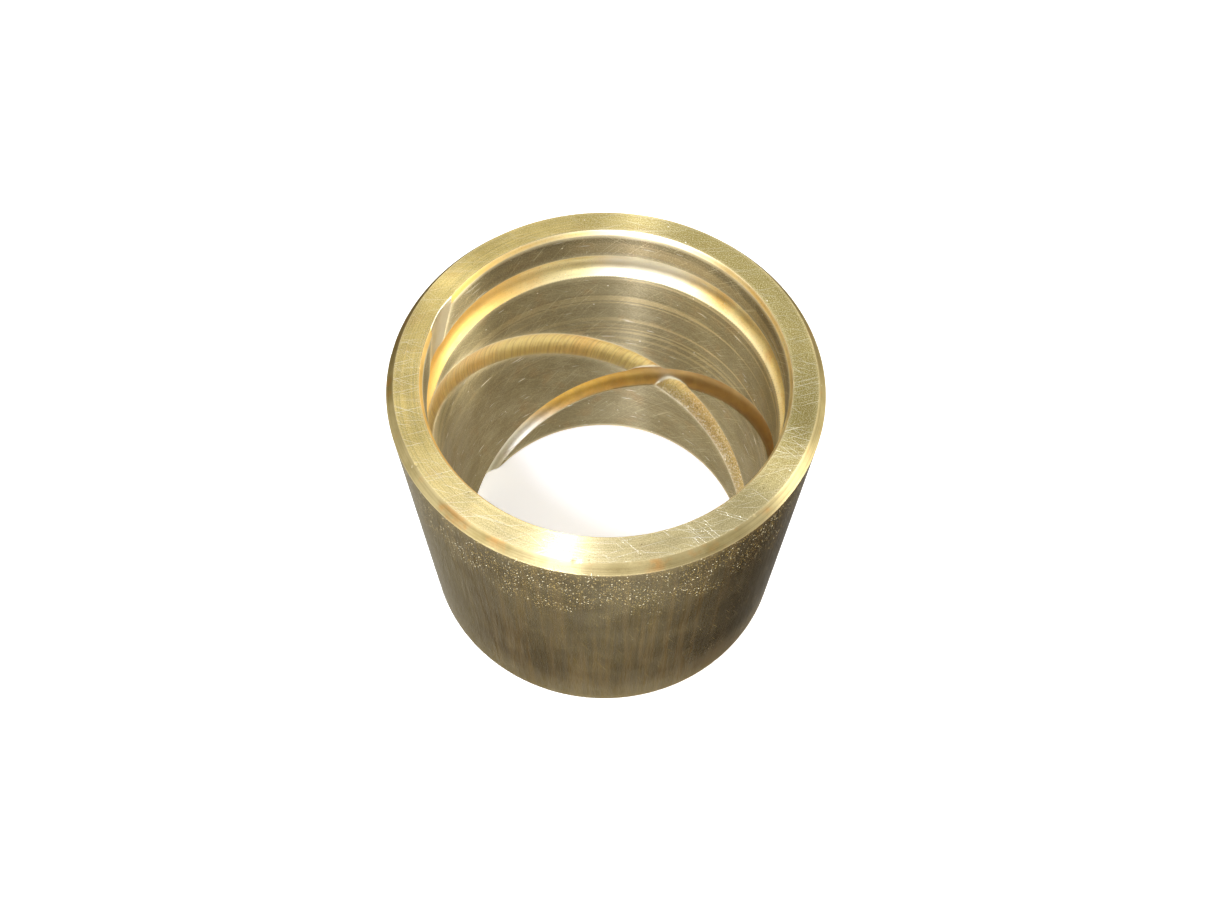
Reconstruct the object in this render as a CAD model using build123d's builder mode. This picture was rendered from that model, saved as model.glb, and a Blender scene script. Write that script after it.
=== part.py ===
"""Bronze sleeve bushing: a plain cylindrical pin bearing turned from one bar.

The bush is pressed into a link eye by its outside diameter and a pin turns in
its bore.  An annular groove near the upper end holds the grease, a slanting
notch lets it in and out through the upper land, and two helical grooves of
opposite hand, which cross each other, spread it over the bore.

Units are millimetres.  The axis is Z and the lower end stands on Z = 0.
Angles are in degrees, counted from +X towards +Y.
"""
import os

from build123d import *

os.makedirs("parts", exist_ok=True)

# ---- main sizes of the bush -------------------------------------------------
outer_diameter = 60.0
bore_diameter = 50.0
bush_length = 54.0

# ---- edges ------------------------------------------------------------------
top_outer_chamfer_radial = 1.15
top_outer_chamfer_axial = 1.35
top_bore_chamfer_radial = 0.35
top_bore_chamfer_axial = 0.8
bottom_bore_chamfer = 0.3
# the lower end enters the housing first, so its chamfer is a long lead-in
lead_in_radial = 1.8
lead_in_axial = 3.75

# ---- annular grease groove --------------------------------------------------
ring_groove_depth_below_top = 7.7
ring_groove_tool_radius = 2.9
ring_groove_depth = 1.2

# ---- helical oil grooves ----------------------------------------------------
crossing_height = 19.4
crossing_angle = 68.0
# the cutter starts below the lower end and stops inside the annular groove
groove_run_out = 4.0

# right-hand groove: shallow and narrow at the top, deep and wide at the bottom
right_hand_pitch = 75.5
right_hand_tool_radius = 3.9
right_hand_depth_at_bottom = 1.9
right_hand_depth_at_ring = 0.45

# left-hand groove: nearly even depth
left_hand_pitch = 80.5
left_hand_tool_radius = 2.35
left_hand_depth_at_bottom = 1.75
left_hand_depth_at_ring = 1.45

# ---- feed notch through the upper land --------------------------------------
feed_notch_angle_at_top = 158.0
feed_notch_angle_at_ring = 172.0
feed_notch_tool_radius = 6.6
feed_notch_depth = 0.45

# ---- values that follow from the sizes above --------------------------------
outer_radius = outer_diameter / 2
bore_radius = bore_diameter / 2
ring_groove_height = bush_length - ring_groove_depth_below_top
path_steps = 36


def tool_centre_radius(depth, tool_radius):
    """Radius at which a round tool runs to sink this deep into the bore."""
    return bore_radius + depth - tool_radius


def spiral_point(radius, angle, height):
    """Point at this radius and angle about the bore axis."""
    return Vector(radius, 0, height).rotate(Axis.Z, angle)


def cut_groove(points, tool_radius):
    """Run a round tool along a curve through the points and cut its channel."""
    with BuildLine() as path:
        Spline(*points)
    with BuildSketch(Plane(origin=path.line @ 0, z_dir=path.line % 0)) as tool:
        Circle(tool_radius)
    sweep(
        sections=tool.sketch,
        path=path.line,
        is_frenet=True,
        mode=Mode.SUBTRACT,
    )
    # the ball end that the tool leaves where it stops
    with Locations(points[-1]):
        Sphere(tool_radius, mode=Mode.SUBTRACT)


def helix_points(pitch, tool_radius, low_depth, high_depth, hand):
    """Tool path of a helical groove; hand is 1 for right-hand, -1 for left."""
    rise = ring_groove_height + groove_run_out
    low_radius = tool_centre_radius(low_depth, tool_radius)
    high_radius = tool_centre_radius(high_depth, tool_radius)
    points = []
    for step in range(path_steps + 1):
        share = step / path_steps
        height = rise * share - groove_run_out
        radius = low_radius + (high_radius - low_radius) * share
        turned = hand * 360 * (height - crossing_height) / pitch
        points.append(spiral_point(radius, crossing_angle + turned, height))
    return points


def feed_notch_points():
    """Tool path of the slanting notch, from above the end face to the ring."""
    radius = tool_centre_radius(feed_notch_depth, feed_notch_tool_radius)
    slant = feed_notch_angle_at_ring - feed_notch_angle_at_top
    points = []
    for share in (1.5, 1.25, 1.0, 0.75, 0.5, 0.25, 0.0):
        angle = feed_notch_angle_at_ring - slant * share
        height = ring_groove_height + ring_groove_depth_below_top * share
        points.append(spiral_point(radius, angle, height))
    return points


with BuildPart() as bushing_sleeve:
    # turned profile of the wall, drawn to the right of the axis
    with BuildSketch(Plane.XZ):
        with BuildLine():
            Polyline(
                (bore_radius, bottom_bore_chamfer),
                (bore_radius + bottom_bore_chamfer, 0),
                (outer_radius - lead_in_radial, 0),
                (outer_radius, lead_in_axial),
                (outer_radius, bush_length - top_outer_chamfer_axial),
                (outer_radius - top_outer_chamfer_radial, bush_length),
                (bore_radius + top_bore_chamfer_radial, bush_length),
                (bore_radius, bush_length - top_bore_chamfer_axial),
                close=True,
            )
        make_face()
    revolve(axis=Axis.Z)

    # annular grease groove
    ring_radius = tool_centre_radius(ring_groove_depth, ring_groove_tool_radius)
    with BuildSketch(Plane.XZ):
        with Locations((ring_radius, ring_groove_height)):
            Circle(ring_groove_tool_radius)
    revolve(axis=Axis.Z, mode=Mode.SUBTRACT)

    # right-hand oil groove
    right_hand_path = helix_points(
        right_hand_pitch,
        right_hand_tool_radius,
        right_hand_depth_at_bottom,
        right_hand_depth_at_ring,
        hand=1,
    )
    cut_groove(right_hand_path, right_hand_tool_radius)

    # left-hand oil groove
    left_hand_path = helix_points(
        left_hand_pitch,
        left_hand_tool_radius,
        left_hand_depth_at_bottom,
        left_hand_depth_at_ring,
        hand=-1,
    )
    cut_groove(left_hand_path, left_hand_tool_radius)

    # feed notch
    cut_groove(feed_notch_points(), feed_notch_tool_radius)

bushing_sleeve.part.label = "bushing_sleeve"
export_step(bushing_sleeve.part, "parts/bushing_sleeve.step")
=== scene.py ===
"""Bronze sleeve bushing: a finely detailed skin for the CAD bush, and its studio.

The CAD node bushing_sleeve is replaced by one closed mesh of the same shape.  The
bush is unrolled onto a flat sheet, the grooves are drawn on it as lines, the sheet
is triangulated along those lines, and every point of it is lifted back onto the
turned and grooved surface.  Sizes are in millimetres until the mesh is made.
"""
import math

import bpy
import numpy as np
from mathutils import Matrix, Vector
from mathutils.geometry import delaunay_2d_cdt


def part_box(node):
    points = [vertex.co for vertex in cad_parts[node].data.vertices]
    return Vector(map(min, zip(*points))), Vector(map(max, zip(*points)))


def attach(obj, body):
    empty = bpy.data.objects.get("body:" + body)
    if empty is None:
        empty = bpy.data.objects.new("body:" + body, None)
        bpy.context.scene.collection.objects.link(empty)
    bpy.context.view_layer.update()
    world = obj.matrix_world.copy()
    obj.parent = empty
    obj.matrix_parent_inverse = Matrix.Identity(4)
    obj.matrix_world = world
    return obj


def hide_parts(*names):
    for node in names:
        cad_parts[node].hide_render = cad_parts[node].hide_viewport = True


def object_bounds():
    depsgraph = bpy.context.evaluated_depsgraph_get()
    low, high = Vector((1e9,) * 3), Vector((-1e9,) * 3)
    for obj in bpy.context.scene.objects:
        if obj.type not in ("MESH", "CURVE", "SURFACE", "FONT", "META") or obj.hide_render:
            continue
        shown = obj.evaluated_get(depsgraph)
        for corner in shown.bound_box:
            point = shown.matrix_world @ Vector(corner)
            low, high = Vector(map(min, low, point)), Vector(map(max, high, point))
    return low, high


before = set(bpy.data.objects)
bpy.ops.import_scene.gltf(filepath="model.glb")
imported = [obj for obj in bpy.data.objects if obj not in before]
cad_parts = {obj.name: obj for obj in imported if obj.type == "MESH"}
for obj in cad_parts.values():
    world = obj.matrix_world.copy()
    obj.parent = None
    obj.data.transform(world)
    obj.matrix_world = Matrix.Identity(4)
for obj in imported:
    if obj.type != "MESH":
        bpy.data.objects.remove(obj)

NODE = "bushing_sleeve"
cad_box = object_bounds()
node_low, node_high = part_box(NODE)

MM = 0.001

# ---- sizes of the bush, as the CAD has them ---------------------------------
outer_radius = round((node_high[0] - node_low[0]) / 2 / MM, 2)
bush_length = round((node_high[2] - node_low[2]) / MM, 2)
bore_radius = 25.0

top_outer_chamfer = (1.15, 1.35)
top_bore_chamfer = (0.35, 0.8)
bottom_bore_chamfer = 0.3
lead_in_chamfer = (1.8, 3.75)
# the fine break that handling leaves on every turned edge
edge_radius = 0.1
groove_edge_softness = 0.18

ring_below_top = 7.7
ring_height = bush_length - ring_below_top
ring_tool_radius = 2.9
ring_depth = 1.2

crossing_height = 19.4
crossing_angle = math.radians(68.0)
groove_run_out = 4.0

notch_angle_at_top = math.radians(158.0)
notch_angle_at_ring = math.radians(172.0)
notch_tool_radius = 6.6
notch_depth = 0.45

# the sheet is cut open where no groove passes
seam_angle = math.radians(252.0)


class Helix:
    """A helical groove: its centre line, depth and width on the unrolled bore."""

    def __init__(self, pitch, hand, tool_radius, depth_low, depth_high, chatter):
        self.rise = hand * pitch / (2 * math.pi * bore_radius)
        self.lean = math.cos(math.atan(self.rise))
        self.tool_radius = tool_radius
        self.depth_low = depth_low
        self.depth_high = depth_high
        self.chatter = chatter
        self.end = self.along(self.arc_length(ring_height), ring_height)

    def height(self, u):
        """Height of the centre line at this arc length round the bore."""
        return crossing_height + (u - crossing_angle * bore_radius) * self.rise

    def arc_length(self, height):
        """Arc length round the bore at which the centre line has this height."""
        return crossing_angle * bore_radius + (height - crossing_height) / self.rise

    def across(self, u, z):
        """Distance from the centre line, square to it."""
        return (z - self.height(u)) * self.lean

    def along(self, u, z):
        """Distance travelled along the centre line."""
        return (u + self.rise * z) * self.lean

    def depth(self, z):
        """Cut depth, which changes evenly from the lower end to the annular groove."""
        share = np.clip((z + groove_run_out) / (ring_height + groove_run_out), 0, 1)
        return self.depth_low + (self.depth_high - self.depth_low) * share

    def half_width(self, z):
        """Half of the groove's width where its tool leaves the bore."""
        depth = self.depth(z)
        return np.sqrt(depth * (2 * self.tool_radius - depth))

    def radius(self, u, z):
        """Radius of the groove's floor; far inside the bore where there is none."""
        along = self.along(u, z)
        depth = self.depth(z) + self.chatter * chatter_marks(along)
        past_end = np.clip((along - self.end) * math.copysign(1, self.rise), 0, None)
        return round_tool(np.hypot(self.across(u, z), past_end), self.tool_radius, depth)

    def line(self, share, offset, spacing):
        """Points of a line that keeps this share of the half width, plus an offset."""
        low = self.arc_length(-groove_run_out)
        high = self.arc_length(bush_length)
        u = np.linspace(low, high, int(abs(high - low) / self.lean / spacing))
        z = self.height(u)
        side = share * self.half_width(z) + offset
        u = u - side * self.rise * self.lean
        z = z + side * self.lean
        kept = (z > -0.5) & (z < ring_height - ring_half_width + 0.8)
        return u[kept], z[kept]


# a groove's radius where it doesn't reach, well inside the bore
NO_CUT = bore_radius - 4.0


def round_tool(across, tool_radius, depth):
    """Radius cut by a round tool, this far from its centre line."""
    inside = np.clip(tool_radius ** 2 - across ** 2, 0, None)
    cut = bore_radius + depth - tool_radius + np.sqrt(inside)
    return np.where(np.abs(across) < tool_radius, cut, NO_CUT)


def chatter_marks(along):
    """Uneven ribs that a vibrating cutter leaves across its own path, from -1 to 1."""
    return (
        0.45 * np.sin(along * 4.7 + 1.6 * np.sin(along * 0.63))
        + 0.35 * np.sin(along * 7.9 + 2.3 * np.sin(along * 0.41))
        + 0.20 * np.sin(along * 12.7)
    )


right_hand = Helix(
    pitch=75.5, hand=1, tool_radius=3.9, depth_low=1.9, depth_high=0.45, chatter=0.03
)
left_hand = Helix(
    pitch=80.5, hand=-1, tool_radius=2.35, depth_low=1.75, depth_high=1.45, chatter=0.0
)
helices = (right_hand, left_hand)
ring_half_width = math.sqrt(ring_depth * (2 * ring_tool_radius - ring_depth))
notch_half_width = math.sqrt(notch_depth * (2 * notch_tool_radius - notch_depth))
notch_slant = (
    (notch_angle_at_top - notch_angle_at_ring) * bore_radius
    / (bush_length - ring_height)
)
notch_lean = math.cos(math.atan(notch_slant))


def notch_centre(z):
    """Arc length round the bore at which the feed notch's centre line has this height."""
    return notch_angle_at_ring * bore_radius + (z - ring_height) * notch_slant


def notch_across(u, z):
    """Distance from the feed notch's centre line; the notch ends as a ball in the ring."""
    below = np.clip(ring_height - z, 0, None)
    return np.hypot((u - notch_centre(z)) * notch_lean, below)


def soft_max(a, b):
    """The larger of two radii, rounded where they meet."""
    return (a + b + np.sqrt((a - b) ** 2 + groove_edge_softness ** 2)) / 2


def groove_cuts(u, z):
    """The radius that each groove on its own reaches at a point of the bore."""
    notch = round_tool(notch_across(u, z), notch_tool_radius, notch_depth)
    ring = round_tool(z - ring_height, ring_tool_radius, ring_depth)
    return [helix.radius(u, z) for helix in helices] + [notch, ring]


def grooved(radius, u, z):
    """The radius of the bore side once every groove has been cut into it."""
    result = radius
    for cut in groove_cuts(u, z):
        result = soft_max(result, cut)
    return result


# ---- the turned outline ------------------------------------------------------
def outline_corners():
    """Corners of the wall's section, from the middle of the outside, down and round."""
    r, l = outer_radius, bush_length
    b = bore_radius
    return [
        (r, l / 2),
        (r, lead_in_chamfer[1]),
        (r - lead_in_chamfer[0], 0),
        (b + bottom_bore_chamfer, 0),
        (b, bottom_bore_chamfer),
        (b, l - top_bore_chamfer[1]),
        (b + top_bore_chamfer[0], l),
        (r - top_outer_chamfer[0], l),
        (r, l - top_outer_chamfer[1]),
        (r, l / 2),
    ]


def rounded_outline():
    """Dense points of the section with its corners rounded, and each arc's ends."""
    corners = [Vector(c) for c in outline_corners()]
    points = [corners[0]]
    arcs = []
    steps = 16
    for before, corner, after in zip(corners, corners[1:], corners[2:]):
        start_way = (before - corner).normalized()
        end_way = (after - corner).normalized()
        half = start_way.angle(end_way) / 2
        reach = edge_radius / math.tan(half)
        centre = corner + (start_way + end_way).normalized() * edge_radius / math.sin(half)
        first = corner + start_way * reach - centre
        last = corner + end_way * reach - centre
        arcs.append((len(points), len(points) + steps))
        sweep = math.pi - 2 * half
        for step in range(steps + 1):
            a = math.sin(sweep * (1 - step / steps)) / math.sin(sweep)
            b = math.sin(sweep * step / steps) / math.sin(sweep)
            points.append(centre + first * a + last * b)
    points.append(corners[-1])
    return points, arcs


outline, outline_arcs = rounded_outline()
outline_r = np.array([p.x for p in outline])
outline_z = np.array([p.y for p in outline])
outline_v = np.concatenate(
    ([0], np.cumsum(np.hypot(np.diff(outline_r), np.diff(outline_z))))
)
# the rounded corners in outline order, each with the sheet coordinates of its two ends
(
    LEAD_IN_TOP, LEAD_IN_FOOT, LOWER_RIM, LOWER_BORE_EDGE,
    UPPER_BORE_EDGE, UPPER_RIM, FACE_RIM, SHOULDER,
) = range(8)
arc_ends = [(outline_v[a], outline_v[b]) for a, b in outline_arcs]
v_bottom_face = (arc_ends[LEAD_IN_FOOT][1], arc_ends[LOWER_RIM][0])
v_bore = (arc_ends[LOWER_RIM][0], arc_ends[UPPER_RIM][1])
v_top_face = (arc_ends[UPPER_RIM][1], arc_ends[FACE_RIM][0])


def v_of_height(z):
    """Sheet coordinate of a height on the bore side."""
    inside = (outline_v >= v_bore[0]) & (outline_v <= v_bore[1])
    v = np.interp(z, outline_z[inside], outline_v[inside])
    return v + np.minimum(z, 0)


# ---- dents that handling has left on the rims ---------------------------------
dent_seed = 11
dent_counts = ((FACE_RIM, 26), (SHOULDER, 12), (UPPER_RIM, 16), (LEAD_IN_TOP, 10))
dent_widths = (0.2, 0.5)
dent_steepness = 0.08


def mid(arc):
    """Middle of a rounded edge."""
    return (arc_ends[arc][0] + arc_ends[arc][1]) / 2


def make_dents():
    """Small dents as (u, v, width, depth), mostly along the two upper rims."""
    rng = np.random.default_rng(dent_seed)
    dents = []
    for rim, count in dent_counts:
        for _ in range(count):
            u = rng.uniform(seam_u - full_turn + 1, seam_u - 1)
            width = rng.uniform(*dent_widths)
            dents.append((u, mid(rim) + rng.uniform(-0.1, 0.1), width, width * dent_steepness))
    return dents


full_turn = 2 * math.pi * bore_radius
seam_u = seam_angle * bore_radius
dents = make_dents()


def smooth_surface(u, v):
    """Lift sheet points onto the turned and grooved surface."""
    radius = np.interp(v, outline_v, outline_r)
    z = np.interp(v, outline_v, outline_z)
    # a groove carries the rounded edge, and the face behind it, outwards with it
    rim_top = np.interp(arc_ends[UPPER_RIM][0], outline_v, outline_r)
    rim_bottom = np.interp(arc_ends[LOWER_RIM][1], outline_v, outline_r)
    rim = np.where(v > outline_v[-1] / 2, rim_top, rim_bottom)
    side = np.minimum(radius, rim)
    push = grooved(side, u, z) - side
    to_top = (v - v_top_face[0]) / (v_top_face[1] - v_top_face[0])
    to_bottom = (v_bottom_face[1] - v) / (v_bottom_face[1] - v_bottom_face[0])
    push = push * (1 - np.clip(np.maximum(to_top, to_bottom), 0, 1))
    radius = radius + push
    angle = u / bore_radius
    return np.stack([radius * np.cos(angle), radius * np.sin(angle), z], axis=-1)


def surface_normal(surface, u, v, step=0.012):
    """Outward normals, from the surface a hundredth of a millimetre to each side."""
    along_u = surface(u + step, v) - surface(u - step, v)
    along_v = surface(u, np.clip(v + step, 0, outline_v[-1])) - surface(
        u, np.clip(v - step, 0, outline_v[-1])
    )
    normal = np.cross(along_v, along_u)
    return normal / np.linalg.norm(normal, axis=-1, keepdims=True)


def dented_surface(u, v):
    """The finished surface: every dent pushes its spot straight into the metal."""
    points = smooth_surface(u, v)
    for at_u, at_v, width, depth in dents:
        near = 1 - ((u - at_u) ** 2 + (v - at_v) ** 2) / width ** 2
        touched = near > 0
        if touched.any():
            centre = surface_normal(smooth_surface, np.array([at_u]), np.array([at_v]))
            points[touched] -= centre * (depth * near[touched] ** 2)[:, None]
    return points


# ---- the unrolled sheet: points, lines and triangles --------------------------
# rounded edges are a tenth of a millimetre long, so triangles are made on a sheet
# where they are stretched
arc_stretch = 5.0
column_count = 360
columns = np.linspace(seam_u - full_turn, seam_u, column_count + 1)


def stretch_table():
    """Sheet coordinates before and after stretching the rounded edges."""
    plain, stretched = [0.0], [0.0]
    for start, end in arc_ends:
        stretched.append(stretched[-1] + start - plain[-1])
        plain.append(start)
        stretched.append(stretched[-1] + (end - start) * arc_stretch)
        plain.append(end)
    stretched.append(stretched[-1] + outline_v[-1] - plain[-1])
    plain.append(outline_v[-1])
    return np.array(plain), np.array(stretched)


plain_v, stretched_v = stretch_table()


def steps_between(start, end, spacing):
    """Evenly spaced values from start to end, about this far apart."""
    count = max(1, round((end - start) / spacing))
    return np.linspace(start, end, count + 1)


class Sheet:
    """Gathers points and lines on the unrolled bush."""

    def __init__(self):
        self.points = []
        self.edges = []

    def add(self, u, v):
        """Loose points, kept clear of the sheet's border."""
        keep = (v > 0.01) & (v < outline_v[-1] - 0.01)
        keep &= (u > seam_u - full_turn + 0.2) & (u < seam_u - 0.2)
        self.points.extend(zip(u[keep].tolist(), v[keep].tolist()))

    def add_row(self, v, kept=None):
        """A ring of points all the way round; the seam's ends are always there."""
        u = columns if kept is None else columns[kept]
        self.points.extend((at, v) for at in u.tolist())

    def add_line(self, u, v):
        """Points joined one after another by edges that the triangles keep to."""
        first = len(self.points)
        self.points.extend(zip(u.tolist(), v.tolist()))
        self.edges.extend((i, i + 1) for i in range(first, len(self.points) - 1))


# lines of points beside each groove's edge, in millimetres, and inside it, as shares
edge_offsets = (-0.2, -0.065, 0.065, 0.2)
inner_shares = (-0.82, -0.58, -0.3, 0.0, 0.3, 0.58, 0.82)
# row spacing on each plain stretch of the outline; the bore has rows of its own
row_spacings = (2.2, 1.0, 0.6, 0.6, None, 0.45, 0.5, 0.6, 2.2)
bore_row_spacing = 0.85
land_row_spacing = 0.7
rows_in_rounding = 6
row_beside_rounding = 0.16
right_hand_spacing = 0.2
left_hand_spacing = 0.28
notch_points = 28
junction_spacing = 0.16
# rings of points round a dent: share of its width, and how many points
dent_rings = ((0.0, 1), (0.3, 6), (0.6, 12), (0.85, 18), (1.05, 20))


def in_grooves(u, z, margin):
    """True where a point lies inside a helical groove or the notch, plus a margin."""
    inside = np.zeros(np.shape(u), bool)
    for helix in helices:
        near = np.abs(helix.across(u, z)) < helix.half_width(z) + margin
        inside |= near & (z < ring_height)
    return inside | ((notch_across(u, z) < notch_half_width + margin) & (z > ring_height))


def junctions(spacing):
    """Fine points where grooves run into each other."""
    ring_low = ring_height - ring_half_width - 0.5
    u, z = np.meshgrid(
        np.arange(columns[0], columns[-1], spacing),
        np.arange(0.3, bush_length - 0.3, spacing),
    )
    u = u + (np.round(z / spacing) % 2) * spacing / 2
    u, z = u.ravel(), z.ravel()
    near = [np.abs(h.across(u, z)) < h.half_width(z) + 0.3 for h in helices]
    crossing = near[0] & near[1] & (z < ring_low)
    run_ins = (near[0] | near[1]) & (z > ring_low) & (z < ring_height + 0.2)
    notch = notch_across(u, z) < notch_half_width + 0.3
    run_ins |= notch & (z > ring_height - 0.2) & (z < ring_height + ring_half_width + 0.6)
    kept = crossing | run_ins
    return u[kept], z[kept]


def fill_sheet():
    """Every row, groove line and dent on the sheet, ready to be triangulated."""
    sheet = Sheet()
    # plain rows between the rounded edges, coarse where nothing happens
    borders = [0.0] + [v for ends in arc_ends for v in ends] + [outline_v[-1]]
    for start, end, spacing in zip(borders[::2], borders[1::2], row_spacings):
        if spacing:
            for v in steps_between(start, end, spacing):
                sheet.add_row(v)
    for start, end in arc_ends:
        for v in np.linspace(start, end, rows_in_rounding)[1:-1]:
            sheet.add_row(v)
        for v in (start - row_beside_rounding, end + row_beside_rounding):
            if not v_bore[0] < v < v_bore[1]:
                sheet.add_row(v)
    # the bore: open rows with the grooves' footprints left out
    low, high = arc_ends[LOWER_BORE_EDGE][1], arc_ends[UPPER_BORE_EDGE][0]
    ring_rows = [
        ring_height + side * (ring_half_width + offset)
        for side in (-1, 1) for offset in edge_offsets
    ]
    ring_rows += [ring_height + share * ring_half_width for share in inner_shares]
    ring_v = v_of_height(np.array(sorted(ring_rows)))
    bore_rows = [low]
    bore_rows += list(steps_between(low, ring_v[0], bore_row_spacing)[1:-1])
    bore_rows += list(ring_v)
    bore_rows += list(steps_between(ring_v[-1], high, land_row_spacing)[1:-1])
    bore_rows += [high]
    for v in bore_rows:
        z = np.interp(v, outline_v, outline_z)
        free = ~in_grooves(columns, np.full(columns.shape, z), 0.25)
        sheet.add_row(v, free)
    # lines along the grooves
    for helix, spacing in zip(helices, (right_hand_spacing, left_hand_spacing)):
        lines = [(side, side * offset) for side in (-1, 1) for offset in edge_offsets]
        lines += [(share, 0.0) for share in inner_shares]
        for share, offset in lines:
            u, z = helix.line(share, offset, spacing)
            sheet.add_line(u, v_of_height(z))
    z = np.linspace(ring_height + ring_half_width - 0.8, bush_length, notch_points)
    v = v_of_height(z)
    centre = notch_centre(z)
    for share in inner_shares:
        sheet.add_line(centre + share * notch_half_width / notch_lean, v)
    for side in (-1, 1):
        for offset in edge_offsets:
            reach = side * (notch_half_width + offset) / notch_lean
            sheet.add_line(centre + reach, v)
    u, z = junctions(junction_spacing)
    sheet.add(u, v_of_height(z))
    # rings of points round each dent
    for at_u, at_v, width, _ in dents:
        for share, count in dent_rings:
            turn = np.arange(count) * 2 * math.pi / count + share
            sheet.add(
                at_u + width * share * np.cos(turn),
                at_v + width * share * np.sin(turn),
            )
    return sheet


# the bush's materials, in the order they are put on it
OUTER_WALL, END_FACE, CHAMFER, BORE, RING_GROOVE, OIL_GROOVE = range(6)


def region(u, v):
    """Which finish a sheet point has, as an index into the bush's materials."""
    z = np.interp(v, outline_v, outline_z)
    on_bore = (v > mid(LOWER_BORE_EDGE)) & (v < mid(UPPER_BORE_EDGE))
    in_side = (v > v_bore[0]) & (v < v_bore[1])
    bore_break = (v > mid(UPPER_BORE_EDGE)) & (v < mid(UPPER_RIM))
    end_face = (v > mid(LEAD_IN_FOOT)) & (v < mid(LOWER_RIM))
    end_face |= (v > mid(UPPER_RIM)) & (v < mid(FACE_RIM))
    chamfer = (v > mid(LEAD_IN_TOP)) & (v < mid(LEAD_IN_FOOT))
    chamfer |= (v > mid(FACE_RIM)) & (v < mid(SHOULDER))
    chamfer |= in_side & ~on_bore
    ring = on_bore & (np.abs(z - ring_height) < ring_half_width)
    groove = in_side & ~ring & in_grooves(u, z, 0.0)
    which = np.full(u.shape, OUTER_WALL)
    which[on_bore] = BORE
    which[end_face] = END_FACE
    which[chamfer] = CHAMFER
    which[ring | bore_break] = RING_GROOVE
    which[groove] = OIL_GROOVE
    return which


def build_bush():
    """The whole bush as one closed mesh, with the finish of every face marked."""
    sheet = fill_sheet()
    source = [(u, float(np.interp(v, plain_v, stretched_v))) for u, v in sheet.points]
    verts, _, faces, *_ = delaunay_2d_cdt(source, sheet.edges, [], 0, 1e-5, False)
    flat = np.array([tuple(p) for p in verts])
    u = flat[:, 0]
    v = np.interp(flat[:, 1], stretched_v, plain_v)
    triangles = np.array([f for f in faces if len(f) == 3])[:, ::-1]
    corners = np.stack([u[triangles], v[triangles]], axis=-1)
    finish = region(*corners.mean(1).T)

    # close the sheet round the bush and across the middle of its outside
    right = np.abs(u - seam_u) < 1e-3
    upper = np.abs(v - outline_v[-1]) < 1e-3
    home_u = np.where(right, u - full_turn, u)
    home_v = np.where(upper, 0.0, v)
    border = right | upper | (np.abs(u - columns[0]) < 1e-3) | (v < 1e-3)
    keys = {}
    target = np.arange(len(u))
    for i in np.flatnonzero(border):
        key = (round(float(home_u[i]), 2), round(float(home_v[i]), 2))
        target[i] = keys.setdefault(key, i)
    triangles = target[triangles]
    whole = (
        (triangles[:, 0] != triangles[:, 1])
        & (triangles[:, 1] != triangles[:, 2])
        & (triangles[:, 2] != triangles[:, 0])
    )
    used, inverse = np.unique(triangles[whole], return_inverse=True)
    corners = corners[whole]
    return u[used], v[used], inverse.reshape(-1, 3), corners, finish[whole]


wear_and_highlight_reach = 0.14


def edge_wear_and_highlight(u, v):
    """How near a point is to a sharp edge, from 0 to 1."""
    gap = np.full(u.shape, 9.0)
    for start, end in arc_ends:
        gap = np.minimum(gap, np.clip(np.maximum(start - v, v - end), 0, None))
    turned = np.exp(-gap / wear_and_highlight_reach)
    in_side = (v > v_bore[0]) & (v < v_bore[1])
    z = np.interp(v, outline_v, outline_z)
    radius = np.interp(v, outline_v, outline_r)
    sharp = radius
    for cut in groove_cuts(u, z):
        sharp = np.maximum(sharp, cut)
    milled = (grooved(radius, u, z) - sharp) / (groove_edge_softness / 2)
    return np.maximum(turned, np.where(in_side, np.clip(milled, 0, 1), 0))


# the lip lies a little on the right-hand groove's side of the line where both are as deep
lip_shift = 0.18
lip_width = 0.27


def groove_lip_highlight(u, v):
    """Where the two oil grooves break into each other, from 0 to 1."""
    z = np.interp(v, outline_v, outline_z)
    right, left = groove_cuts(u, z)[:2]
    shared = np.minimum(right, left) - bore_radius
    lip = np.exp(-((right - left - lip_shift) / lip_width) ** 2) * np.clip(shared / 0.2, 0, 1)
    return np.where((z > 1.0) & (z < ring_height - ring_half_width), lip, 0)


MAP_SCALE = 0.01
# the left-hand groove's map starts this far along, to tell the two apart
LEFT_HAND_START = 1000.0


def groove_map(corners, finish):
    """Each corner's millimetres along and across its groove, as map coordinates.

    Off the oil grooves the map is the unrolled sheet itself."""
    u, v = corners[..., 0], corners[..., 1]
    z = np.interp(v, outline_v, outline_z)
    mid_u, mid_z = u.mean(1), z.mean(1)
    right, left, notch, _ = groove_cuts(mid_u, mid_z)
    in_notch = (mid_z > ring_height) & (notch > bore_radius)
    along, across = u.copy(), v.copy()
    for chosen, helix, start in (
        (right >= left, right_hand, 0.0), (left > right, left_hand, LEFT_HAND_START)
    ):
        chosen = chosen & (finish == OIL_GROOVE) & ~in_notch
        along[chosen] = helix.along(u[chosen], z[chosen]) + start
        across[chosen] = helix.across(u[chosen], z[chosen])
    # the notch's own tool marks run across it
    chosen = in_notch & (finish == OIL_GROOVE)
    along[chosen] = (u[chosen] - notch_slant * z[chosen]) * notch_lean
    across[chosen] = z[chosen] + notch_slant * u[chosen]
    return np.stack([along, across], axis=-1) * MAP_SCALE


# ---- materials ----------------------------------------------------------------
def srgb(red, green, blue):
    """A colour picked on screen, as the linear values a shader takes."""
    linear = [
        c / 12.92 if c <= 0.04045 else ((c + 0.055) / 1.055) ** 2.4
        for c in (red / 255, green / 255, blue / 255)
    ]
    return (*linear, 1.0)


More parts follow.
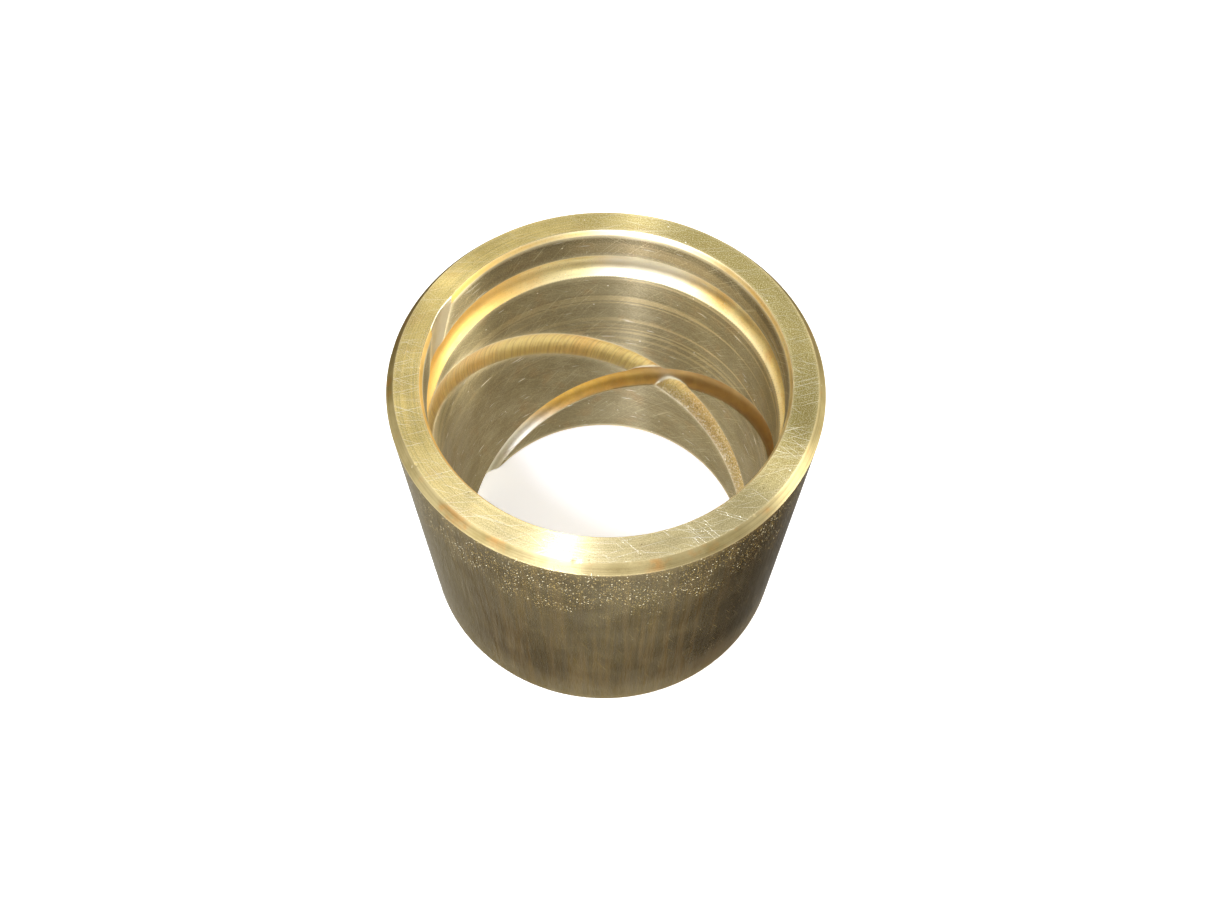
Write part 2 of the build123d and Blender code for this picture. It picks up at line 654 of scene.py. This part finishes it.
class Shading:
    """Short ways to build one material's node graph."""

    def __init__(self, name):
        self.material = bpy.data.materials.new(name)
        self.material.use_nodes = True
        self.tree = self.material.node_tree
        self.tree.nodes.clear()
        self.output = self.node("ShaderNodeOutputMaterial")
        place = self.node("ShaderNodeTexCoord").outputs["Object"]
        # object space in millimetres
        self.place = self.vector("SCALE", place, scale=1 / MM)
        parts = self.node("ShaderNodeSeparateXYZ", self.place)
        self.x, self.y, self.z = parts.outputs
        self.radius = self.math("SQRT", self.math(
            "ADD", self.math("MULTIPLY", self.x, self.x), self.math("MULTIPLY", self.y, self.y)
        ))

    def node(self, kind, *inputs, **settings):
        """A new node, with its first inputs fed and its settings made."""
        made = self.tree.nodes.new(kind)
        for key, value in settings.items():
            setattr(made, key, value)
        for socket, value in zip(made.inputs, inputs):
            self.feed(socket, value)
        return made

    def feed(self, socket, value):
        """Link a socket to another node's output, or give it a constant."""
        if isinstance(value, bpy.types.NodeSocket):
            self.tree.links.new(value, socket)
        else:
            socket.default_value = value

    def math(self, operation, *inputs):
        return self.node("ShaderNodeMath", *inputs, operation=operation).outputs[0]

    def vector(self, operation, first, second=None, scale=None):
        made = self.node("ShaderNodeVectorMath", first, operation=operation)
        if second is not None:
            self.feed(made.inputs[1], second)
        if scale is not None:
            made.inputs["Scale"].default_value = scale
        return made.outputs[0]

    def combine(self, x, y, z):
        return self.node("ShaderNodeCombineXYZ", x, y, z).outputs[0]

    def stretched(self, x, y, z):
        """The place on the bush with each axis scaled, to draw textures out."""
        return self.vector("MULTIPLY", self.place, (x, y, z))

    def noise(self, place, scale=1.0, detail=3.0, roughness=0.55, distortion=0.0):
        made = self.node("ShaderNodeTexNoise", noise_dimensions="3D")
        self.feed(made.inputs["Vector"], place)
        made.inputs["Scale"].default_value = scale
        made.inputs["Detail"].default_value = detail
        made.inputs["Roughness"].default_value = roughness
        made.inputs["Distortion"].default_value = distortion
        return made.outputs["Fac"]

    def flecks(self, place, scale, size, share):
        """Small round spots in a share of the cells of a scattered grid."""
        made = self.node("ShaderNodeTexVoronoi", feature="F1")
        self.feed(made.inputs["Vector"], place)
        made.inputs["Scale"].default_value = scale
        spot = self.between(made.outputs["Distance"], size * 0.5, size, 1.0, 0.0)
        chance = self.node("ShaderNodeSeparateXYZ", made.outputs["Color"]).outputs[0]
        return self.math("MULTIPLY", spot, self.between(chance, share, share + 0.1, 1.0, 0.0))

    def between(self, value, low, high, out_low=0.0, out_high=1.0):
        """Map a value's range onto another, smoothly and without going past it."""
        made = self.node("ShaderNodeMapRange", value, low, high, out_low, out_high)
        made.interpolation_type = "SMOOTHSTEP"
        return made.outputs[0]

    def mix(self, share, first, second):
        """The first colour, with this share of the second over it."""
        made = self.node("ShaderNodeMix", data_type="RGBA")
        self.feed(made.inputs[0], share)
        self.feed(made.inputs[6], first)
        self.feed(made.inputs[7], second)
        return made.outputs[2]

    def tinted(self, colour, share, strength, tint):
        """The colour with a tint over it wherever the share says, at this strength."""
        return self.mix(self.math("MULTIPLY", share, strength), colour, tint)

    def bump(self, height, depth):
        """Raise the surface by a height texture; depth is in millimetres."""
        made = self.node("ShaderNodeBump")
        made.inputs["Strength"].default_value = 1.0
        made.inputs["Distance"].default_value = depth * MM
        self.feed(made.inputs["Height"], height)
        return made.outputs[0]

    def groove_place(self):
        """Millimetres along and across the groove, from the bush's own map."""
        place = self.node("ShaderNodeUVMap", uv_map="groove").outputs[0]
        parts = self.node(
            "ShaderNodeSeparateXYZ", self.vector("SCALE", place, scale=1 / MAP_SCALE)
        )
        return parts.outputs[0], parts.outputs[1]

    def attribute(self, name):
        """A share from 0 to 1 that the mesh carries at every point."""
        return self.node("ShaderNodeAttribute", attribute_name=name).outputs["Fac"]

    def turned(self, cosine, sine):
        """The place on the bush turned about its axis, as x and y."""
        x = self.math(
            "SUBTRACT", self.math("MULTIPLY", self.x, cosine), self.math("MULTIPLY", self.y, sine)
        )
        y = self.math(
            "ADD", self.math("MULTIPLY", self.x, sine), self.math("MULTIPLY", self.y, cosine)
        )
        return x, y

    def scratches(self, turn, length, width, seed, rarity):
        """Fine straight scratches on the flat faces, one family in one direction."""
        along, across = self.turned(math.cos(turn), -math.sin(turn))
        place = self.combine(
            self.math("MULTIPLY", along, 1 / length),
            self.math("MULTIPLY", across, 1 / width),
            seed,
        )
        grain = self.noise(place, 1.0, 1.0, 0.5, 0.25)
        return self.between(grain, rarity, rarity + 0.06)

    def twisted_scratches(self, slope, length, width, seed, rarity):
        """Slanted scratches round a wall, with no seam: a streak texture turned with height."""
        angle = self.math("MULTIPLY", self.z, slope / bore_radius)
        x, y = self.turned(self.math("COSINE", angle), self.math("SINE", angle))
        place = self.combine(
            self.math("MULTIPLY", x, 1 / width),
            self.math("MULTIPLY", y, 1 / width),
            self.math("MULTIPLY_ADD", self.z, 1 / length, seed),
        )
        grain = self.noise(place, 1.0, 1.0, 0.5, 0.2)
        return self.between(grain, rarity, rarity + 0.06)

    def metal(self, colour, roughness, normal, anisotropy, turn, mapped=False, tint=None):
        """Finish the material as brushed metal, its grain round the axis or as mapped."""
        shader = self.node("ShaderNodeBsdfPrincipled")
        shader.inputs["Metallic"].default_value = 1.0
        shader.inputs["Anisotropic"].default_value = anisotropy
        shader.inputs["Anisotropic Rotation"].default_value = turn
        shader.inputs["Specular Tint"].default_value = tint or (1, 1, 1, 1)
        self.feed(shader.inputs["Base Color"], colour)
        self.feed(shader.inputs["Roughness"], roughness)
        self.feed(shader.inputs["Normal"], normal)
        if anisotropy:
            tangent = self.node("ShaderNodeTangent", direction_type="RADIAL", axis="Z")
            if mapped:
                tangent.direction_type = "UV_MAP"
                tangent.uv_map = "groove"
            self.tree.links.new(tangent.outputs[0], shader.inputs["Tangent"])
        self.tree.links.new(shader.outputs[0], self.output.inputs["Surface"])
        return self.material


def bronze_tone(s, pale, deep, rust, rust_share=0.35):
    """Cast bronze colour: pale and deep clouds with a few warmer, redder patches."""
    cloud = s.noise(s.place, 0.11, 4.0, 0.6)
    colour = s.mix(s.between(cloud, 0.35, 0.68), pale, deep)
    patch = s.noise(s.vector("ADD", s.place, (31.0, 7.0, 3.0)), 0.23, 3.0, 0.65)
    patch = s.math("MULTIPLY", s.between(patch, 0.52, 0.72), rust_share)
    return s.mix(patch, colour, rust)


def end_face_material():
    """Turned end faces: fine rings, and the scratches and nicks of handling, with painted glints
    on the nicks, painted shade on the right and painted light at the front.
    """
    s = Shading("bronze_end_face")
    rings = s.combine(
        s.math("MULTIPLY", s.radius, 6.0),
        s.math("MULTIPLY", s.x, 0.045),
        s.math("MULTIPLY", s.y, 0.045),
    )
    turning = s.noise(rings, 1.0, 3.0, 0.7)
    marks = 0.0
    for turn, length, width, seed, rarity in (
        (0.32, 11.0, 0.1, 1.0, 0.67),
        (0.05, 14.0, 0.12, 4.0, 0.67),
        (-0.3, 10.0, 0.1, 7.0, 0.67),
        (-0.75, 8.0, 0.09, 12.0, 0.69),
    ):
        marks = s.math("MAXIMUM", marks, s.scratches(turn, length, width, seed, rarity))
    pits = s.flecks(s.place, 1.1, 0.12, 0.35)
    nicks_and_glints = s.flecks(s.place, 0.8, 0.12, 0.1)
    grain = s.noise(s.place, 6.0, 4.0, 0.75)
    # painted shade: the right-hand side of the face is painted deeper in colour
    painted_shade_right = s.between(s.math("ADD", s.x, s.math("MULTIPLY", s.y, 0.3)), -14.0, 30.0)

    colour = bronze_tone(s, srgb(224, 200, 122), srgb(194, 172, 100), srgb(198, 150, 88), 0.25)
    colour = s.tinted(colour, painted_shade_right, 0.9, srgb(138, 126, 72))
    # painted light: the front of the face is painted paler
    colour = s.mix(s.between(s.y, -30.0, -8.0, 0.4, 0.0), colour, srgb(216, 210, 186))
    colour = s.mix(s.between(turning, 0.4, 0.66, 0.0, 0.4), colour, srgb(128, 112, 66))
    colour = s.mix(s.between(grain, 0.48, 0.62, 0.0, 0.5), colour, srgb(244, 232, 184))
    colour = s.mix(s.between(grain, 0.36, 0.46, 0.35, 0.0), colour, srgb(120, 102, 58))
    marks = s.math("MULTIPLY", marks, s.between(s.y, -12.0, 12.0, 0.75, 0.3))
    colour = s.mix(marks, colour, srgb(255, 252, 232))
    # painted glints: the nicks are painted nearly white
    colour = s.tinted(colour, nicks_and_glints, 0.9, srgb(255, 252, 236))
    colour = s.tinted(colour, pits, 0.7, srgb(84, 66, 38))
    # worn edges with a painted highlight: the edges are tinted paler
    colour = s.tinted(colour, s.attribute("edge"), 0.3, srgb(246, 228, 176))
    roughness = s.between(s.noise(s.place, 0.4, 4.0, 0.6), 0.3, 0.7, 0.37, 0.45)
    roughness = s.math("ADD", roughness, s.math("MULTIPLY", marks, 0.1))
    height = s.math("ADD", s.math("MULTIPLY", turning, 0.8), s.math("MULTIPLY", grain, 0.35))
    height = s.math("SUBTRACT", height, s.math("MULTIPLY", marks, 0.6))
    height = s.math("SUBTRACT", height, s.math("ADD", pits, nicks_and_glints))
    return s.metal(colour, roughness, s.bump(height, 0.014), 1.0, 0.25)


def chamfer_material():
    """Turned chamfers, with a little heat colour left in places."""
    s = Shading("bronze_chamfer")
    rings = s.combine(
        s.math("MULTIPLY", s.z, 6.0),
        s.math("MULTIPLY", s.x, 0.06),
        s.math("MULTIPLY", s.y, 0.06),
    )
    turning = s.noise(rings, 1.0, 3.0, 0.6)
    grain = s.noise(s.place, 4.0, 3.0, 0.6)
    nicks_and_glints = s.between(s.noise(s.place, 1.4, 1.0, 0.5, 0.8), 0.78, 0.83)
    colour = bronze_tone(s, srgb(192, 176, 128), srgb(154, 138, 90), srgb(204, 136, 62), 0.5)
    colour = s.mix(s.between(turning, 0.3, 0.75, 0.0, 0.4), colour, srgb(104, 86, 50))
    # painted glints: the nicks are painted nearly white
    colour = s.tinted(colour, nicks_and_glints, 0.8, srgb(255, 246, 214))
    # painted shade: the far half of the rim is painted darker
    colour = s.mix(s.between(s.y, -8.0, 6.0, 0.0, 0.75), colour, srgb(92, 84, 58))
    # worn edges with a painted highlight: the edges are tinted paler
    colour = s.tinted(colour, s.attribute("edge"), 0.3, srgb(240, 222, 170))
    roughness = s.between(grain, 0.3, 0.7, 0.4, 0.48)
    height = s.math("ADD", turning, s.math("MULTIPLY", grain, 0.4))
    height = s.math("SUBTRACT", height, nicks_and_glints)
    return s.metal(
        colour, roughness, s.bump(height, 0.012), 1.0, 0.25, tint=srgb(150, 124, 66)
    )


def bore_material(
    name, pale, deep, rust, line_depth, dark_lines, least_roughness, anisotropy,
    land_shade=0.0, ring_painted_light=False,
):
    """Turned inside surface: fine lines round the bore, a few slanted scratches.

    The land above the annular groove can take painted shade, and the annular groove
    itself can take a painted highlight along the back and painted shade, deeper amber, on the
    left."""
    s = Shading(name)
    fine = s.noise(s.stretched(0.035, 0.035, 5.0), 1.0, 3.0, 0.7)
    feed = s.noise(s.stretched(0.012, 0.012, 1.1), 1.0, 1.0, 0.5)
    # the tool chattered more in the upper half, and left rings about a millimetre apart
    rings = s.between(feed, 0.5, 0.6)
    rings = s.math("MULTIPLY", rings, s.between(s.z, 20.0, 36.0, 0.15, 1.0))
    # painted highlight: the rings are shown stronger and paler on the right
    rings = s.math("MULTIPLY", rings, s.between(s.x, -6.0, 10.0, 0.4, 1.0))
    grain = s.noise(s.place, 5.0, 3.0, 0.6)
    painted_glints = s.flecks(s.place, 0.9, 0.15, 0.08)
    marks = s.twisted_scratches(0.9, 6.0, 0.12, 2.0, 0.67)
    marks = s.math("MAXIMUM", marks, s.twisted_scratches(-1.6, 5.0, 0.1, 8.0, 0.68))
    colour = bronze_tone(s, pale, deep, rust)
    lines = s.math("MULTIPLY", s.between(fine, 0.4, 0.68), dark_lines)
    colour = s.mix(lines, colour, srgb(96, 80, 46))
    colour = s.tinted(colour, rings, 0.45, srgb(232, 206, 146))
    # painted glints: small pale flecks
    colour = s.tinted(colour, painted_glints, 0.8, srgb(255, 248, 222))
    # painted highlight: short bright dashes round the bore
    painted_highlight_dashes = s.between(s.noise(s.stretched(0.22, 0.22, 2.6), 1.0, 1.0, 0.5), 0.73, 0.78)
    colour = s.tinted(colour, painted_highlight_dashes, 0.8, srgb(255, 250, 228))
    colour = s.mix(s.between(s.z, 48.0, 49.5, 0.0, land_shade), colour, srgb(84, 70, 42))
    colour = s.mix(s.between(grain, 0.5, 0.66, 0.0, 0.25), colour, srgb(226, 204, 150))
    colour = s.mix(s.between(grain, 0.34, 0.48, 0.25, 0.0), colour, srgb(86, 72, 44))
    colour = s.tinted(colour, marks, 0.5, srgb(240, 226, 178))
    # worn edges with a painted highlight: the edges are tinted paler
    colour = s.tinted(colour, s.attribute("edge"), 0.7, srgb(255, 240, 196))
    roughness = s.between(
        s.noise(s.place, 0.3, 4.0, 0.6), 0.3, 0.7, least_roughness, least_roughness + 0.08
    )
    if ring_painted_light:
        # painted highlight: paler along the back; painted shade: deeper amber on the left
        painted_highlight_back = s.math("MULTIPLY", s.between(s.x, -5.0, 2.0), s.between(s.x, 9.0, 18.0, 1.0, 0.0))
        colour = s.tinted(colour, painted_highlight_back, 0.7, srgb(255, 252, 236))
        colour = s.mix(s.between(s.x, -22.0, -6.0, 0.65, 0.0), colour, srgb(250, 200, 96))
        roughness = s.math("ADD", roughness, s.between(s.x, -16.0, -4.0, 0.12, 0.0))
    height = s.math("ADD", fine, s.math("MULTIPLY", rings, 1.5))
    height = s.math("ADD", height, s.math("MULTIPLY", grain, 0.25))
    height = s.math("SUBTRACT", height, s.math("MULTIPLY", marks, 0.4))
    return s.metal(colour, roughness, s.bump(height, line_depth), anisotropy, 0.25)


def oil_groove_material():
    """Milled oil grooves: golden, with uneven ribs across the first cutter's path."""
    s = Shading("bronze_oil_groove")
    along, across = s.groove_place()
    left_hand_share = s.between(along, 0.4 * LEFT_HAND_START, 0.6 * LEFT_HAND_START)
    ribs = s.combine(
        s.math("MULTIPLY", along, 1.9), s.math("MULTIPLY", across, 0.05), 0.0
    )
    ribs = s.noise(ribs, 1.0, 3.0, 0.65, 0.1)
    ribs = s.mix(left_hand_share, ribs, s.noise(s.place, 0.5, 2.0, 0.5))
    grain = s.noise(s.place, 3.2, 4.0, 0.7)
    # the lower half was cut faster and came out torn and speckled
    torn = s.between(s.z, 14.0, 20.0, 1.0, 0.12)
    torn = s.math("MULTIPLY", torn, s.between(left_hand_share, 0.0, 1.0, 1.0, 0.1))
    golden = bronze_tone(s, srgb(255, 232, 146), srgb(255, 216, 126), srgb(248, 190, 98), 0.2)
    amber = bronze_tone(s, srgb(255, 212, 96), srgb(246, 196, 80), srgb(234, 174, 64), 0.4)
    brown = bronze_tone(s, srgb(204, 168, 98), srgb(188, 148, 80), srgb(188, 136, 64), 0.4)
    amber = s.mix(s.between(s.z, 12.0, 20.0), amber, brown)
    # painted reflection: the left-hand groove turns nearly white towards its lower end
    amber = s.mix(s.between(s.z, 4.0, 9.0, 1.0, 0.0), amber, srgb(255, 252, 230))
    colour = s.mix(left_hand_share, golden, amber)
    rib_share = s.between(left_hand_share, 0.0, 1.0, 0.34, 0.15)
    rib_share = s.math("MULTIPLY", rib_share, s.between(torn, 0.2, 1.0, 1.0, 0.3))
    colour = s.mix(
        s.math("MULTIPLY", s.between(ribs, 0.44, 0.6), rib_share), colour, srgb(170, 124, 58)
    )
    speckle_glints = s.math("MULTIPLY", s.between(grain, 0.52, 0.62), torn)
    colour = s.tinted(colour, torn, 0.5, srgb(170, 138, 74))
    # painted glints: white specks in the torn lower half
    colour = s.tinted(colour, speckle_glints, 0.7, srgb(255, 250, 226))
    hollow = s.math("MULTIPLY", s.between(grain, 0.36, 0.46, 1.0, 0.0), torn)
    colour = s.tinted(colour, hollow, 0.7, srgb(122, 92, 50))
    # worn edges with a painted highlight: the edges are tinted paler
    colour = s.tinted(colour, s.attribute("edge"), 0.6, srgb(255, 250, 226))
    # painted highlight: the feed notch, above the annular groove, is painted paler
    in_notch = s.between(s.z, ring_height + 1.5, ring_height + 3.0)
    colour = s.mix(in_notch, colour, srgb(255, 246, 214))
    # where one groove breaks into the other it leaves a polished lip, painted nearly white as a
    # highlight
    lip = s.attribute("lip")
    colour = s.mix(lip, colour, srgb(255, 250, 226))
    roughness = s.between(grain, 0.3, 0.7, 0.42, 0.48)
    height = s.math("ADD", ribs, s.math("MULTIPLY", grain, s.math("MULTIPLY", torn, 1.6)))
    return s.metal(colour, roughness, s.bump(height, 0.05), 0.45, 0.25, mapped=True)


def outer_wall_material():
    """Drawn outside wall: darker and browner, streaked up and down, with bright flecks as painted
    glints, painted shade on the right and painted light at the front left.
    """
    s = Shading("bronze_outer_wall")
    streaks = s.noise(s.stretched(4.5, 4.5, 0.12), 1.0, 4.0, 0.65)
    broad = s.noise(s.stretched(0.7, 0.7, 0.03), 1.0, 3.0, 0.6)
    cloud = s.noise(s.place, 0.16, 4.0, 0.6)
    # flecks with painted glints gather in clusters, most of them a few millimetres below the top
    # edge
    patches = s.noise(s.place, 0.3, 3.0, 0.6)
    belt = s.between(s.z, 34.0, 46.0, 0.0, 0.3)
    cluster = s.between(s.math("ADD", patches, belt), 0.58, 0.86)
    faint_glint_flecks = s.math("MULTIPLY", s.flecks(s.place, 3.2, 0.36, 0.6), cluster)
    glint_flecks = s.math("MULTIPLY", s.flecks(s.place, 2.1, 0.25, 0.45), cluster)
    marks = s.twisted_scratches(0.35, 5.0, 0.12, 3.0, 0.71)
    marks = s.math("MAXIMUM", marks, s.twisted_scratches(-1.4, 4.0, 0.11, 6.0, 0.73))
    grain = s.noise(s.place, 5.0, 3.0, 0.6)
    colour = s.mix(s.between(cloud, 0.35, 0.65), srgb(121, 115, 99), srgb(111, 105, 90))
    colour = s.mix(s.between(streaks, 0.38, 0.66, 0.0, 0.4), colour, srgb(90, 82, 68))
    colour = s.mix(s.between(broad, 0.45, 0.7, 0.0, 0.3), colour, srgb(142, 127, 100))
    # painted shade: darker on the right; painted light: paler at the front left; paler towards
    # the lower end
    colour = s.mix(s.between(s.x, 6.0, 30.0, 0.0, 0.6), colour, srgb(48, 42, 33))
    painted_light_front_left = s.math(
        "MULTIPLY", s.between(s.x, -27.0, -8.0, 0.5, 0.0), s.between(s.y, -8.0, 4.0, 1.0, 0.0)
    )
    colour = s.mix(painted_light_front_left, colour, srgb(164, 160, 146))
    colour = s.mix(s.between(s.z, 3.0, 17.0, 0.38, 0.0), colour, srgb(168, 160, 140))
    colour = s.tinted(colour, marks, 0.28, srgb(200, 182, 136))
    # painted glints: pale and nearly white flecks
    colour = s.tinted(colour, faint_glint_flecks, 0.55, srgb(236, 208, 146))
    colour = s.mix(glint_flecks, colour, srgb(255, 246, 214))
    # worn edges with a painted highlight: the edges are tinted paler
    colour = s.tinted(colour, s.attribute("edge"), 0.3, srgb(206, 186, 140))
    roughness = s.between(streaks, 0.3, 0.7, 0.34, 0.5)
    roughness = s.math("ADD", roughness, s.math("MULTIPLY", glint_flecks, 0.3))
    height = s.math("ADD", s.math("MULTIPLY", streaks, 0.7), s.math("MULTIPLY", grain, 0.4))
    return s.metal(
        colour, roughness, s.bump(height, 0.02), 0.4, 0.0, tint=srgb(112, 104, 86)
    )


floor_glow = 0.5


def floor_material():
    """Nearly even, pale and dull."""
    s = Shading("pale_floor")
    shader = s.node("ShaderNodeBsdfPrincipled")
    tone = s.noise(s.place, 0.02, 3.0, 0.5)
    s.feed(shader.inputs["Base Color"], s.mix(tone, srgb(246, 246, 245), srgb(240, 240, 240)))
    shader.inputs["Roughness"].default_value = 0.7
    # a light table: the floor glows a little, which keeps its shadows faint
    shader.inputs["Emission Color"].default_value = (1, 1, 1, 1)
    shader.inputs["Emission Strength"].default_value = floor_glow
    s.tree.links.new(shader.outputs[0], s.output.inputs["Surface"])
    return s.material


# ---- the bush -----------------------------------------------------------------
u, v, triangles, corners, finish = build_bush()
points = dented_surface(u, v) * MM
normals = surface_normal(dented_surface, u, v)

mesh = bpy.data.meshes.new("bushing_sleeve_detailed")
mesh.from_pydata(points.tolist(), [], triangles.tolist())
mesh.polygons.foreach_set("use_smooth", [True] * len(mesh.polygons))
for made in (
    outer_wall_material(),
    end_face_material(),
    chamfer_material(),
    bore_material(
        "bronze_bore", srgb(158, 146, 109), srgb(136, 124, 86), srgb(170, 132, 82),
        line_depth=0.016, dark_lines=0.4, least_roughness=0.4, anisotropy=1.0, land_shade=0.5,
    ),
    bore_material(
        "bronze_ring_groove", srgb(255, 240, 178), srgb(252, 216, 134), srgb(246, 180, 92),
        line_depth=0.01, dark_lines=0.1, least_roughness=0.32, anisotropy=0.6, ring_painted_light=True,
    ),
    oil_groove_material(),
):
    mesh.materials.append(made)
mesh.polygons.foreach_set("material_index", finish)
wear_and_highlight = mesh.attributes.new("edge", "FLOAT", "POINT")
wear_and_highlight.data.foreach_set("value", edge_wear_and_highlight(u, v).astype(np.float32))
lip_highlight_share = mesh.attributes.new("lip", "FLOAT", "POINT")
lip_highlight_share.data.foreach_set("value", groove_lip_highlight(u, v).astype(np.float32))
mapping = mesh.uv_layers.new(name="groove")
mapping.uv.foreach_set("vector", groove_map(corners, finish).astype(np.float32).ravel())
mesh.normals_split_custom_set_from_vertices(normals.tolist())
mesh.update()

bush = bpy.data.objects.new("bushing_sleeve_detailed", mesh)
bpy.context.scene.collection.objects.link(bush)
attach(bush, "root")
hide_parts(NODE)

# ---- floor, light and camera --------------------------------------------------
floor_size = 3.0
floor_mesh = bpy.data.meshes.new("floor")
half = floor_size / 2
floor_mesh.from_pydata(
    [(-half, -half, 0), (half, -half, 0), (half, half, 0), (-half, half, 0)],
    [],
    [(0, 1, 2, 3)],
)
floor_mesh.materials.append(floor_material())
floor = bpy.data.objects.new("floor", floor_mesh)
bpy.context.scene.collection.objects.link(floor)
# a hair lower than the bush, so that the two faces don't flicker
floor.location.z = cad_box[0][2] - 0.0002


def softbox(name, place, aim, width, height, power, colour=(1, 1, 1)):
    """A rectangular lamp; sizes in metres, power in watts."""
    light = bpy.data.lights.new(name, "AREA")
    light.shape = "RECTANGLE"
    light.size, light.size_y = width, height
    light.energy = power
    light.color = colour
    made = bpy.data.objects.new(name, light)
    bpy.context.scene.collection.objects.link(made)
    made.location = place
    made.rotation_euler = (Vector(aim) - Vector(place)).to_track_quat("-Z", "Y").to_euler()


camera_place = Vector((0.0, -0.08064, 0.16693))
camera_aim = Vector((0.0003, 0.0, 0.030975))
camera_roll = math.radians(1.108)

flash_place = camera_place + Vector((-0.031, 0, 0))
flash_colour = (1, 1.06, 1.38)
for lamp in (
    # a small flash beside the lens draws the narrow bright streaks
    ("flash", flash_place, camera_aim, 0.014, 0.01, 0.105, flash_colour),
    ("overhead", (-0.15, -0.1, 1.0), (0, 0, 0.0), 1.2, 1.2, 3.8),
    ("front_fill", (0.0, -0.7, 0.2), (0, 0, 0.03), 0.6, 0.2, 1.2),
    ("front_left_fill", (-0.42, -0.5, 0.2), (0, 0, 0.045), 0.4, 0.2, 1.4),
    ("right_fill", (0.5, 0.35, 0.3), (0, 0, 0.03), 0.4, 0.3, 0.7),
    ("right_back_fill", (0.34, 0.49, 0.42), (0, 0, 0.04), 0.25, 0.2, 0.5),
    ("side_fill", (0.6, 0.0, 0.34), (0, 0, 0.035), 0.25, 0.2, 2.4),
    ("left_fill", (-0.5, -0.1, 0.6), (0, 0, 0.03), 0.5, 0.4, 1.1),
):
    softbox(*lamp)

room_brightness = 0.85
world = bpy.data.worlds.new("studio")
bpy.context.scene.world = world
world.use_nodes = True
background = world.node_tree.nodes["Background"]
background.inputs["Color"].default_value = (1, 1, 1, 1)
background.inputs["Strength"].default_value = room_brightness

camera_data = bpy.data.cameras.new("camera")
camera_data.sensor_width = 36.0
camera_data.lens = 30.159
camera_data.clip_start = 0.005
camera = bpy.data.objects.new("camera", camera_data)
bpy.context.scene.collection.objects.link(camera)
camera.location = camera_place
view_turn = (camera_aim - camera_place).to_track_quat("-Z", "Y").to_matrix()
camera.rotation_euler = (view_turn @ Matrix.Rotation(camera_roll, 3, "Z")).to_euler()
bpy.context.scene.camera = camera
bpy.context.scene.view_settings.view_transform = "Standard"
